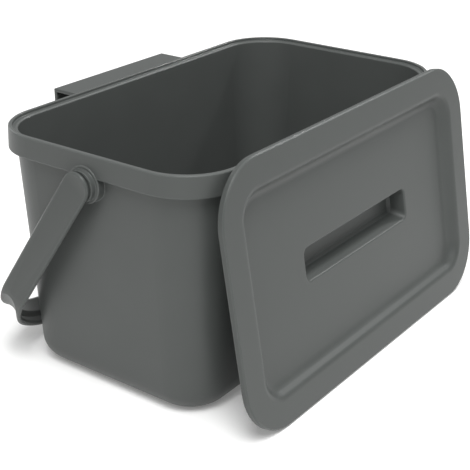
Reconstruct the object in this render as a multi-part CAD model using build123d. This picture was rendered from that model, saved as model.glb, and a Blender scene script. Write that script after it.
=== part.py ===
from build123d import *
import math
import os

# Waste sorting bin: bucket, loose lid, bail handle and door hanger.
# Millimetres. +Z up, origin at the middle of the bucket's base, front (leaning lid) at -Y.

# Bucket, outside
rim_w = 270.0        # rim outline along X
height = 152.4       # floor to the top of the rim's lip
rim_over = 6.6       # rim depth past the height, so that the lid on its long edge tops the rim
rim_r = 35.0         # rim corner radius
band_h = 12.8        # height of the outer band
band_flare = 0.6     # how far the band's lower edge stands out
band_t = 1.7         # band thickness
lip_w = 2.4          # width of the raised lip the lid sits on
lip_h = 1.8          # drop from the lip to the ledge
web_t = 2.0          # thickness of the ledge
lip_edge = 0.5       # broken outer edge of the lip
ledge_edge = 0.7     # broken inner edge of the ledge
tub_inset = 3.9      # rim outline to the tub's outer wall, at the band's lower edge
tub_r = 32.3         # tub corner radius there
tub_draft = 2.96     # side walls, degrees from upright
foot_round = 14.0    # rounding all round the base
inner_foot = 8.5     # sloping inner edge above the base
wall = 1.8           # side wall
floor_t = 2.2        # base thickness
rib_t = 1.2          # stiffening ribs between band and tub

# Handle bosses on the two short sides, a wide step and a hub that the arm turns against
pivot_drop = 18.0    # rim top down to the pivot axis
boss_r = 11.0
boss_proud = 0.3     # boss face past the band's lower edge
hub_r = 9.2
hub_h = 3.3
bore_r = 4.0
bore_depth = 6.0

# Bail handle
floor_gap = 0.4      # grip to the floor it rests on
pin_clear = 0.08     # pin to bore, radial
pin_edge = 0.5
side_play = 0.3      # arm to hub
end_play = 0.4       # pin end to bore bottom
arm_t = 2.9          # arm thickness
arm_high = 10.0      # strap edge above the pivot's line, as the handle rests
arm_low = 8.6        # strap edge below it
arm_edge = 0.9       # broken edges of the strap
arm_dish = 0.9       # hollow of the arm's outer face, at the pivot
arm_rim = 1.2        # edge of that hollow, from the arm's edge
dish_fade = 112.0    # the hollow runs out this far down the arm
arm_short = 0.9      # middle of the rounded arm end, below the pivot
grip_clear = 4.9     # grip to the tub's rounded foot, measured from the pivot
grip_t = 6.4         # grip depth
grip_bow = 900.0     # radius of the grip, bowed outwards
bend_turn = 45.0     # the bend turns this far round the first radius, the rest round the second
bend_small = 44.5
bend_large = 82.0
pad_low = -1.0       # palm pad on the inner side, from this line up to the strap's upper edge
pad_drop = 2.6       # its sloping lower side
pad_step = 0.3       # pad set back from the strap's edges
pad_edge = 1.2       # broken edges against the palm
pad_hide = 2.4       # the pad sinks into the arms to this depth
pad_root = 1.2       # and starts this far under the outer face
gutter_r = 13.0      # hollow along the grip's outer side
gutter_deep = 3.4
gutter_mid = 1.5     # its middle, across the strap
gutter_tall = 8.0    # height of the cut
tail_turn = 30.0     # the gutter leaves the bend where it has turned this far
gutter_tail = 40.0   # and runs straight out, past the arm's outer face

# Door hanger
hang_w = 106.6
hang_t = 2.1
hang_drop = 2.3      # rim top down to the hanger's top face
door_gap = 18.9      # slot for a cabinet door
hang_leg = 28.0      # length of the outer leg
clip_t = 1.4         # lip that rises behind the band
clip_h = 6.0
clip_clear = 0.1
hang_round = 0.6

# Lid, leaning on the front of the rim
lean_in = 4.24       # the rim's edge meets the lid this far from the lid's upper edge
lid_x = 7.7          # lid middle, along X
lid_skirt = 3.7      # edge height
lid_t = 2.0          # border and panel thickness
lid_rib_in = 2.9     # locating rib, inset from the edge
lid_rib_t = 1.5
lid_rib_h = 1.2
lean_gap = 0.05      # rib to rim edge
stand_gap = 0.05     # lid to floor
dish_in = 17.6       # inset where the step down starts
dish_run = 5.2       # how far the step runs inwards
dish_depth = 6.2
slot_w = 118.0       # finger recess
slot_d = 20.6
slot_r = 4.0
slot_up = 0.5        # middle of the recess, above the lid's middle
slot_deep = 12.1     # below the panel
slot_draft_low = 4.2
slot_draft_high = 1.2
slot_draft_end = 2.0
slot_wall = 1.8
slot_edge = 1.6      # sloping floor edge of the recess
slot_lip = 1.2       # rounding where the recess meets the panel
step_top = 4.0       # rounding at the top of the step
step_low = 6.5       # rounding at the foot of the step
lid_edge = 0.7       # broken outer edge

# Worked out from the above
rim_d = height + rim_over
band_z = height - band_h
ledge_z = height - lip_h
web_z = ledge_z - web_t
pivot_z = height - pivot_drop
boss_x = rim_w / 2 + band_flare + boss_proud
band_draft = math.degrees(math.atan2(band_flare, band_h))
tub_slope = math.tan(math.radians(tub_draft))
foot_mid = rim_d / 2 - tub_inset - band_z * tub_slope - foot_round
foot_far = math.hypot(pivot_z - foot_round, foot_mid) + foot_round
reach = foot_far + grip_clear + grip_t
arm_x = boss_x + hub_h + side_play + arm_t
arm_mid = (arm_high - arm_low) / 2
arm_half = (arm_high + arm_low) / 2
grip_low = math.hypot(reach - arm_edge, arm_low - arm_edge)
rest_lean = (math.acos((pivot_z - floor_gap - arm_edge) / grip_low)
             + math.atan2(arm_low - arm_edge, reach - arm_edge))
lid_back = lid_skirt + lid_rib_h + lean_gap
lid_far = math.hypot(rim_d - lean_in, lid_back - lid_skirt)
lid_tilt = math.acos((height - stand_gap) / lid_far) - math.atan2(lid_back - lid_skirt, rim_d - lean_in)


def outline(inset, z):
    """The rim's outline at height z, moved inwards by inset."""
    return Pos(0, 0, z) * RectangleRounded(rim_w - 2 * inset, rim_d - 2 * inset, rim_r - inset)


def tub_half(z):
    return rim_w / 2 - tub_inset - (band_z - z) * tub_slope


def tub_space(low, high, inset):
    """The tub's tapered space between two heights, its walls moved inwards by inset."""
    off = tub_inset + (band_z - low) * tub_slope + inset
    radius = tub_r - (band_z - low) * tub_slope - inset
    base = Pos(0, 0, low) * RectangleRounded(rim_w - 2 * off, rim_d - 2 * off, radius)
    return extrude(base, high - low, taper=-tub_draft)


def band_space(low, high, inset):
    out = band_flare * (height - low) / band_h
    return extrude(outline(inset - out, low), high - low, taper=band_draft)


def edges_at(shape, z, inside=None):
    """Edges in the plane at height z, kept if they lie inside this half width and half depth."""
    found = []
    for edge in shape.edges():
        box = edge.bounding_box()
        if abs(box.min.Z - z) > 0.01 or abs(box.max.Z - z) > 0.01:
            continue
        far_x = max(abs(box.min.X), abs(box.max.X))
        far_y = max(abs(box.min.Y), abs(box.max.Y))
        if inside is not None and (far_x > inside[0] or far_y > inside[1]):
            continue
        found.append(edge)
    return found


def make_bucket():
    tub = tub_space(0, ledge_z, 0)
    tub = fillet(edges_at(tub, 0), foot_round)
    hollow = tub_space(floor_t, height + 1, wall)
    hollow = chamfer(edges_at(hollow, floor_t), inner_foot)
    band = band_space(band_z, height, 0)
    band -= band_space(band_z, web_z, band_t)
    band -= extrude(outline(lip_w, ledge_z), lip_h)
    inner_lip = edges_at(band, height, (rim_w / 2 - lip_w / 2, rim_d / 2 - lip_w / 2))
    outer_lip = [edge for edge in edges_at(band, height) if edge not in inner_lip]
    band = chamfer(outer_lip, lip_edge)
    body = tub + band
    rib_z = (band_z + web_z) / 2 + lip_h / 2
    rib_h = web_z - band_z - lip_h + web_t / 4
    keep = band_space(band_z, height, band_t / 2)
    places = []
    for side in (-1, 1):
        for along in (-0.31, 0.31):
            places.append((along * rim_w, side * rim_d / 2, False))
            places.append((side * rim_w / 2, along * rim_d * 0.77, True))
    for along in (-0.1, 0.1):
        places.append((along * rim_w, -rim_d / 2, False))
    for x, y, turned in places:
        rib = Box(14, rib_t, rib_h) if turned else Box(rib_t, 14, rib_h)
        body += (Pos(x, y, rib_z) * rib) & keep
    boss_in = tub_half(pivot_z) - wall / 2
    hub_x = boss_x + hub_h
    for side in (-1, 1):
        step = Cylinder(boss_r, boss_x - boss_in, align=(Align.CENTER, Align.CENTER, Align.MIN))
        step = chamfer(step.edges().group_by(Axis.Z)[-1], boss_proud)
        hub = Cylinder(hub_r, hub_x - boss_in, align=(Align.CENTER, Align.CENTER, Align.MIN))
        body += Pos(side * boss_in, 0, pivot_z) * Rot(0, 90 * side, 0) * (step + hub)
    for side in (-1, 1):
        bore = Cylinder(bore_r, bore_depth + 1, align=(Align.CENTER, Align.CENTER, Align.MIN))
        body -= Pos(side * (hub_x - bore_depth), 0, pivot_z) * Rot(0, 90 * side, 0) * bore
    body -= hollow
    inner_edge = edges_at(body, ledge_z, (rim_w / 2 - lip_w - 1, rim_d / 2 - lip_w - 1))
    return chamfer(inner_edge, ledge_edge)


def along_u(section, depth_arm, depth_grip, tail=0):
    """A section (x outwards, y across the strap) carried along the handle's U, arms hanging down.

    Each half has an arm, two tangent arcs and half of the bowed grip. The U lies inside the handle's
    outer face by one depth on the arms and by another from the first arc's end to the grip. With a tail,
    the section leaves the first arc early and runs straight on for that length, in place of the arm.
    """
    turn = math.radians(bend_turn)
    half = arm_x - depth_arm
    bend_x = arm_x - bend_small - (bend_large - bend_small) * math.cos(turn)
    tilt = math.asin(bend_x / (grip_bow - bend_large))
    bow_z = grip_bow - reach
    large_z = bow_z - (grip_bow - bend_large) * math.cos(tilt)
    large = bend_large - depth_grip
    small = (half - bend_x - large * math.cos(turn)) / (1 - math.cos(turn))
    small_z = large_z - (large - small) * math.sin(turn)
    sides = [Pos(half, 0, small_z) * section]
    runs = []
    for x, z, angle in ((half - small, small_z, bend_turn),
                        (bend_x, large_z, 90 - bend_turn - math.degrees(tilt)),
                        (0, bow_z, math.degrees(tilt))):
        axis = Axis((x, 0, z), (0, 1, 0))
        runs.append(revolve(sides[-1], axis, angle))
        sides.append(sides[-1].rotate(axis, angle))
    if tail:
        first = Axis((half - small, 0, small_z), (0, 1, 0))
        start = sides[0].rotate(first, tail_turn)
        runs[0] = revolve(start, first, bend_turn - tail_turn)
        away = math.radians(tail_turn)
        runs.append(extrude(start, tail, dir=(math.sin(away), 0, math.cos(away))))
    else:
        runs.append(extrude(sides[0], -arm_short - small_z, dir=(0, 0, 1)))
    half_u = runs[0]
    for piece in runs[1:]:
        half_u += piece
    return half_u + mirror(half_u, Plane.YZ)


def strap_section():
    """Flat strap with broken edges, its outer face at x = 0."""
    bar = Rectangle(arm_t, 2 * arm_half)
    return Pos(-arm_t / 2, arm_mid) * chamfer(bar.vertices(), arm_edge).face()


def pad_section():
    """Raised inner side of the grip, its lower part sloping back to a thinner flange."""
    high = arm_high - pad_step
    low = pad_step - arm_low
    root = grip_t - pad_root
    points = [
        (0, pad_low),
        (0, high - pad_edge),
        (pad_edge, high),
        (root, high),
        (root, low),
        (pad_drop + pad_edge, low),
        (pad_drop, low + pad_edge),
        (pad_drop, pad_low - pad_drop),
    ]
    return make_face(Polyline(*points, close=True))


def make_bail():
    strap = along_u(strap_section(), 0, 0)
    inside = Pos(-pad_root - grip_t, arm_mid) * Rectangle(2 * grip_t, 4 * arm_half)
    strap += along_u(pad_section(), pad_hide, grip_t) & along_u(inside.face(), 0, 0)
    gutter = Pos(gutter_r, gutter_mid) * Circle(gutter_r)
    gutter &= Pos(0, gutter_mid) * Rectangle(2 * gutter_tall, 2 * gutter_r)
    strap -= along_u(gutter.face(), gutter_deep, gutter_deep, gutter_tail)
    upper = strap_section() & Pos(0, arm_mid + arm_half) * Rectangle(4 * arm_t, 2 * arm_half)
    end = revolve(Pos(arm_x, 0, -arm_short) * upper, Axis((0, arm_mid, -arm_short), (1, 0, 0)), 180)
    dish_r = ((arm_half - arm_rim) ** 2 + arm_dish ** 2) / (2 * arm_dish)
    dish = Cylinder(dish_r, dish_fade, align=(Align.CENTER, Align.CENTER, Align.MAX)) + Sphere(dish_r)
    dish = Rot(0, -math.degrees(math.atan2(arm_dish, dish_fade)), 0) * dish
    dish = Pos(arm_x + dish_r - arm_dish, arm_mid, -arm_short) * dish
    strap += end + mirror(end, Plane.YZ)
    strap -= dish + mirror(dish, Plane.YZ)
    pin_in = boss_x + hub_h - bore_depth + end_play
    for side in (-1, 1):
        pin_long = arm_x - arm_t / 2 - pin_in
        pin = Cylinder(bore_r - pin_clear, pin_long, align=(Align.CENTER, Align.CENTER, Align.MIN))
        pin = chamfer(pin.edges().group_by(Axis.Z)[0], pin_edge)
        strap += Pos(side * pin_in, 0, 0) * Rot(0, 90 * side, 0) * pin
    return Pos(0, 0, pivot_z) * Rot(math.degrees(rest_lean), 0, 0) * strap


def make_hanger():
    top = height - hang_drop
    y_in = rim_d / 2 + band_flare
    y_out = y_in + 2 * hang_t + door_gap
    low = band_z - hang_t - clip_clear
    slope = band_flare / band_h
    clip_out = y_in - band_t - clip_clear
    points = [
        (y_in, top),
        (y_out, top),
        (y_out, top - hang_leg),
        (y_out - hang_t, top - hang_leg),
        (y_out - hang_t, top - hang_t),
        (y_in + hang_t, top - hang_t),
        (y_in + hang_t, low),
        (clip_out - clip_t, low),
        (clip_out - clip_t - slope * clip_h, low + hang_t + clip_h),
        (clip_out - slope * clip_h, low + hang_t + clip_h),
        (clip_out, low + hang_t),
        (y_in, low + hang_t),
    ]
    side = make_face(Polyline(*points, close=True))
    plate = extrude(Plane.YZ * side, hang_w / 2, both=True)
    bends = []
    for edge in plate.edges().filter_by(Axis.X):
        middle = edge.center()
        if middle.Z > top - 0.1 and abs(middle.Y - y_out) < 0.1:
            bends.append(edge)
        if middle.Z > top - 0.1 and abs(middle.Y - y_in) < 0.1:
            bends.append(edge)
    return fillet(bends, hang_round)


def recess_space(top, floor, grow, corner):
    """Space of the finger recess, four drafted walls moved outwards by grow."""
    def deep(z):
        return (-dish_depth - z) / slot_deep

    def low(z):
        return slot_up - slot_d / 2 - grow + slot_draft_low * deep(z)

    def high(z):
        return slot_up + slot_d / 2 + grow - slot_draft_high * deep(z)

    def end(z):
        return slot_w / 2 + grow - slot_draft_end * deep(z)

    across = Polyline((low(top), top), (high(top), top), (high(floor), floor), (low(floor), floor), close=True)
    along = Polyline((-end(top), top), (end(top), top), (end(floor), floor), (-end(floor), floor), close=True)
    space = extrude(Plane.YZ * make_face(across), slot_w, both=True)
    space &= extrude(Plane.XZ * make_face(along), slot_w, both=True)
    corners = [edge for edge in space.edges() if abs(edge.tangent_at(0.5).Z) > 0.5]
    return fillet(corners, corner)


def make_lid():
    top = extrude(outline(0, -lid_skirt), lid_skirt)
    top = chamfer(edges_at(top, 0), lid_edge)
    rib_low = -lid_skirt - lid_rib_h
    rib = extrude(outline(lid_rib_in, rib_low), lid_rib_h + 1)
    under = extrude(outline(lid_rib_in + lid_rib_t, rib_low), -rib_low - lid_t)
    plate = top + rib - under
    slope = math.atan2(dish_depth, dish_run)
    run = dish_run / dish_depth
    draft = 90 - math.degrees(slope)
    shell_z = -dish_depth - lid_t
    shell_in = dish_in - lid_t / math.sin(slope) - shell_z * run
    shell = extrude(outline(shell_in, shell_z), -shell_z - lid_t / 2, taper=-draft)
    plate += chamfer(edges_at(shell, shell_z), lid_t)
    floor_z = -dish_depth - slot_deep
    plate += recess_space(-dish_depth - lid_t / 2, floor_z - lid_t, slot_wall, slot_r + slot_wall)
    dish = extrude(outline(dish_in + dish_run, -dish_depth), dish_depth + 1, taper=-draft)
    plate -= fillet(edges_at(dish, -dish_depth), step_low)
    recess = recess_space(-dish_depth, floor_z, 0, slot_r)
    plate -= chamfer(edges_at(recess, floor_z), slot_edge)
    plate = fillet(edges_at(plate, 0, (rim_w / 2 - lid_rib_in, rim_d / 2 - lid_rib_in)), step_top)
    lip_edges = edges_at(plate, -dish_depth, (slot_w / 2 + slot_lip, slot_d / 2 + slot_lip))
    plate = fillet(lip_edges, slot_lip)
    z0 = lid_skirt * math.sin(lid_tilt) + stand_gap
    y0 = -rim_d / 2 - (lid_back + math.sin(lid_tilt) * (height - z0)) / math.cos(lid_tilt)
    plate = Pos(0, rim_d / 2, 0) * plate
    return Pos(lid_x, y0, z0) * Rot(90 - math.degrees(lid_tilt), 0, 0) * plate


os.makedirs("parts", exist_ok=True)
bucket = make_bucket()
export_step(bucket, "parts/bucket.step")
lid = make_lid()
export_step(lid, "parts/lid.step")
bail = make_bail()
export_step(bail, "parts/bail_handle.step")
hanger = make_hanger()
export_step(hanger, "parts/door_hanger.step")
print("handle lean", round(math.degrees(rest_lean), 2), "lid tilt", round(math.degrees(lid_tilt), 3))
for name, shape in (("bucket", bucket), ("lid", lid), ("bail_handle", bail), ("door_hanger", hanger)):
    box = shape.bounding_box()
    print(name, "solids", len(shape.solids()), "valid", shape.is_valid, "volume", round(shape.volume / 1000, 1),
          "box", [round(v, 2) for v in (box.min.X, box.min.Y, box.min.Z, box.max.X, box.max.Y, box.max.Z)])
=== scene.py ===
import math
import bpy
from mathutils import Matrix, Vector

# Waste sorting bin: moulded grey plastic on a pale floor, seen from the photograph's viewpoint.
# Lengths are in metres, angles in degrees and colours linear, unless a comment says otherwise.
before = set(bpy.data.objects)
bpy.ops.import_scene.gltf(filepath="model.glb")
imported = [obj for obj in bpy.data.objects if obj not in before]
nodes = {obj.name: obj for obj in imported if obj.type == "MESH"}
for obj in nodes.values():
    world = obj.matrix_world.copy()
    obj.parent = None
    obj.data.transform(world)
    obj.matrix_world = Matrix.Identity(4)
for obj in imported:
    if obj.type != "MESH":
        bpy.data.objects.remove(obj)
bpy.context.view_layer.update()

# The photograph's camera, found by fitting the rim, the lid and the base
VIEW_AZIMUTH = -53.504
VIEW_ELEVATION = 24.386
VIEW_ROLL = 0.086
VIEW_HEIGHT = 0.09              # of the point above the origin that the distance is counted from
VIEW_DISTANCE = 0.7255
VIEW_RIGHT = 0.0016             # how far the camera is moved across its own view
VIEW_UP = -0.0317
LENS = 85.57                    # millimetres
SENSOR = 36.0                   # millimetres
NEAREST_SEEN = 0.01

# Moulded plastic
BUCKET_GREY = (0.0635, 0.0685, 0.066)
LID_GREY = (0.0555, 0.0605, 0.058)
HANDLE_GREY = (0.055, 0.060, 0.0575)
# Painted shade: the hanger is the bucket's plastic, given a darker grey that offsets the lamps over its top
HANGER_SHADED_GREY = (0.057, 0.062, 0.0595)
PLASTIC_IOR = 1.37
PLASTIC_ROUGHNESS = 0.42
HANDLE_ROUGHNESS = 0.44
ROUGHNESS_CHANGE = (-0.04, 0.06)    # added to the roughness from one end of the mottling to the other

# Slow colour changes: their size and number to a metre, the stretch of noise in use, and the shades there
MOTTLE = 0.035
MOTTLES = 1 / MOTTLE
MOTTLE_RANGE = (0.3, 0.7)
MOTTLE_SHADES = (0.965, 1.035)

# Moulded grain: its size and depth, and the number of specks and pores to a metre
GRAIN = 0.00035
GRAIN_DEPTH = GRAIN / 8
GRAIN_STRENGTH = 0.10
SPECKS = 0.5 / GRAIN
PORES = 0.7 / GRAIN

# Edges painted paler as a highlight, partly as wear, and made smoother: the cosine between the rounded and
# the plain normal where an edge starts and is full
EDGE_RADIUS = 0.0010
EDGE_SAMPLES = 4
EDGE_COSINES = (0.995, 0.90)
# The paler edge colour is a painted highlight, partly wear
EDGE_WEAR_AND_HIGHLIGHT_SHARE = (0.3, 0.7)              # share of the paler colour, from speck to speck
EDGE_HIGHLIGHT_PALER = 2.6                    # times the grey
EDGE_SMOOTHER = -0.28               # added to the roughness

# Floor and studio: strengths of the sky and of the floor's own glow, and round lamps
FLOOR_WHITE = (0.88, 0.88, 0.875)
FLOOR_SIZE = 60
FLOOR_ROUGHNESS = 0.9
FLOOR_GLOW = 0.16
SKY_LIGHT = 0.52
LAMP_AIM = (0, 0, 0.1)
LAMPS = {
    "top_light": {"place": (-0.25, -0.28, 1.2), "width": 0.7, "watts": 9.0},
    "key_light": {"place": (-0.8, -0.6, 1.6), "width": 0.9, "watts": 16.0},
    "right_light": {"place": (1.32, -0.2, 1.24), "width": 0.2, "watts": 11.0},
    "back_light": {"place": (0.3, 1.6, 0.8), "width": 0.8, "watts": 3.5},
}


def tint(colour, times=1.0):
    """The colour made paler or darker, as the four numbers that a socket takes."""
    return [times * part for part in colour] + [1]


def add(tree, kind, **values):
    """A node with its inputs set by name."""
    node = tree.nodes.new(kind)
    for name, value in values.items():
        node.inputs[name.replace("_", " ")].default_value = value
    return node


def stretch(tree, source, old=(0, 1), new=(0, 1)):
    """A value stretched from one range to another, and kept inside it."""
    node = add(tree, "ShaderNodeMapRange", From_Min=old[0], From_Max=old[1], To_Min=new[0], To_Max=new[1])
    tree.links.new(source, node.inputs["Value"])
    return node.outputs["Result"]


def reckon(tree, operation, *values):
    """A Math node's result, from sockets and plain numbers."""
    node = tree.nodes.new("ShaderNodeMath")
    node.operation = operation
    for socket, value in zip(node.inputs, values):
        if isinstance(value, bpy.types.NodeSocket):
            tree.links.new(value, socket)
        else:
            socket.default_value = value
    return node.outputs["Value"]


def edges(tree, rounded):
    """0 on flat ground and 1 on an edge, where the rounded normal leaves the plain one."""
    plain = tree.nodes.new("ShaderNodeNewGeometry")
    cosine = tree.nodes.new("ShaderNodeVectorMath")
    cosine.operation = "DOT_PRODUCT"
    tree.links.new(rounded, cosine.inputs[0])
    tree.links.new(plain.outputs["Normal"], cosine.inputs[1])
    return stretch(tree, cosine.outputs["Value"], old=EDGE_COSINES)


def mottled(tree, grey, mottle):
    """The grey with its slow changes of shade."""
    shade = tree.nodes.new("ShaderNodeValToRGB")
    for stop, position, times in zip(shade.color_ramp.elements, MOTTLE_RANGE, MOTTLE_SHADES):
        stop.position = position
        stop.color = tint(grey, times)
    tree.links.new(mottle, shade.inputs["Fac"])
    return shade.outputs["Color"]


def worn_and_highlighted(tree, colour, grey, edge, speck):
    """The colour, turned paler in specks along the edges: a painted highlight, partly wear."""
    mix = tree.nodes.new("ShaderNodeMix")
    mix.data_type = "RGBA"
    mix.inputs["B"].default_value = tint(grey, EDGE_HIGHLIGHT_PALER)
    tree.links.new(reckon(tree, "MULTIPLY", edge, stretch(tree, speck, new=EDGE_WEAR_AND_HIGHLIGHT_SHARE)), mix.inputs["Factor"])
    tree.links.new(colour, mix.inputs["A"])
    return mix.outputs["Result"]


def grained(tree, rounded, speck, pore):
    """The rounded normal with the moulded grain on it."""
    bump = add(tree, "ShaderNodeBump", Strength=GRAIN_STRENGTH, Distance=GRAIN_DEPTH)
    tree.links.new(reckon(tree, "ADD", speck, pore), bump.inputs["Height"])
    tree.links.new(rounded, bump.inputs["Normal"])
    return bump.outputs["Normal"]


def plastic(name, grey, roughness=PLASTIC_ROUGHNESS):
    """Moulded polypropylene: fine grain, faint mottling, edges painted paler as a highlight with some wear,
    and smoother.
    """
    material = bpy.data.materials.new(name)
    material.use_nodes = True
    tree = material.node_tree
    link = tree.links.new
    shader = tree.nodes["Principled BSDF"].inputs
    shader["IOR"].default_value = PLASTIC_IOR

    place = tree.nodes.new("ShaderNodeTexCoord").outputs["Object"]
    mottles = add(tree, "ShaderNodeTexNoise", Scale=MOTTLES, Detail=4.0, Roughness=0.55)
    specks = add(tree, "ShaderNodeTexNoise", Scale=SPECKS, Detail=2.0, Roughness=0.6)
    pores = add(tree, "ShaderNodeTexVoronoi", Scale=PORES)
    for texture in (mottles, specks, pores):
        link(place, texture.inputs["Vector"])
    mottle = mottles.outputs["Fac"]
    speck = specks.outputs["Fac"]
    bevel = add(tree, "ShaderNodeBevel", Radius=EDGE_RADIUS)
    bevel.samples = EDGE_SAMPLES
    rounded = bevel.outputs["Normal"]
    edge = edges(tree, rounded)

    # Edges turn paler: a painted highlight, partly wear
    link(worn_and_highlighted(tree, mottled(tree, grey, mottle), grey, edge, speck), shader["Base Color"])
    uneven = stretch(tree, mottle, new=[roughness + change for change in ROUGHNESS_CHANGE])
    link(reckon(tree, "MULTIPLY_ADD", edge, EDGE_SMOOTHER, uneven), shader["Roughness"])
    link(grained(tree, rounded, speck, pores.outputs["Distance"]), shader["Normal"])
    return material


def dress(node, material):
    """The node's slots all take this material."""
    slots = nodes[node].data.materials
    if len(slots) == 0:
        slots.append(material)
    for index in range(len(slots)):
        slots[index] = material


def floor():
    """A wide pale floor with a faint glow of its own, which keeps it near white."""
    bpy.ops.mesh.primitive_plane_add(size=FLOOR_SIZE)
    ground = bpy.context.object
    ground.name = "floor"
    material = bpy.data.materials.new("pale_floor")
    material.use_nodes = True
    shader = material.node_tree.nodes["Principled BSDF"].inputs
    shader["Base Color"].default_value = tint(FLOOR_WHITE)
    shader["Roughness"].default_value = FLOOR_ROUGHNESS
    shader["Emission Color"].default_value = tint(FLOOR_WHITE)
    shader["Emission Strength"].default_value = FLOOR_GLOW
    ground.data.materials.append(material)


def softbox(name, place, width, watts):
    """A round soft lamp that looks at the bin."""
    light = bpy.data.lights.new(name, "AREA")
    light.shape = "DISK"
    light.size = width
    light.energy = watts
    lamp = bpy.data.objects.new(name, light)
    lamp.location = place
    lamp.rotation_euler = (Vector(place) - Vector(LAMP_AIM)).to_track_quat("Z", "Y").to_euler()
    bpy.context.collection.objects.link(lamp)


def studio():
    """An even white sky and the soft lamps."""
    world = bpy.data.worlds.new("studio")
    world.use_nodes = True
    sky = world.node_tree.nodes["Background"].inputs
    sky["Color"].default_value = (1, 1, 1, 1)
    sky["Strength"].default_value = SKY_LIGHT
    bpy.context.scene.world = world
    for name, lamp in LAMPS.items():
        softbox(name, **lamp)


def camera():
    """The photograph's camera: turned to the named angles, then moved a little across its own view."""
    azimuth, elevation, roll = (math.radians(v) for v in (VIEW_AZIMUTH, VIEW_ELEVATION, VIEW_ROLL))
    back = Vector((math.sin(azimuth) * math.cos(elevation), -math.cos(azimuth) * math.cos(elevation),
                   math.sin(elevation)))
    right = Vector((math.cos(azimuth), math.sin(azimuth), 0))
    up = back.cross(right)
    right, up = (math.cos(roll) * right + math.sin(roll) * up, math.cos(roll) * up - math.sin(roll) * right)
    place = Vector((0, 0, VIEW_HEIGHT)) + back * VIEW_DISTANCE + right * VIEW_RIGHT + up * VIEW_UP
    turn = Matrix((right, up, back)).transposed().to_4x4()
    data = bpy.data.cameras.new("photo_view")
    data.lens = LENS
    data.sensor_width = SENSOR
    data.sensor_fit = "HORIZONTAL"
    data.clip_start = NEAREST_SEEN
    view = bpy.data.objects.new("photo_view", data)
    view.matrix_world = Matrix.Translation(place) @ turn
    bpy.context.collection.objects.link(view)
    bpy.context.scene.camera = view


dress("bucket", plastic("bucket_plastic", BUCKET_GREY))
dress("lid", plastic("lid_plastic", LID_GREY))
dress("bail_handle", plastic("handle_plastic", HANDLE_GREY, HANDLE_ROUGHNESS))
dress("door_hanger", plastic("hanger_plastic", HANGER_SHADED_GREY))
floor()
studio()
camera()
bpy.context.scene.view_settings.view_transform = "Standard"
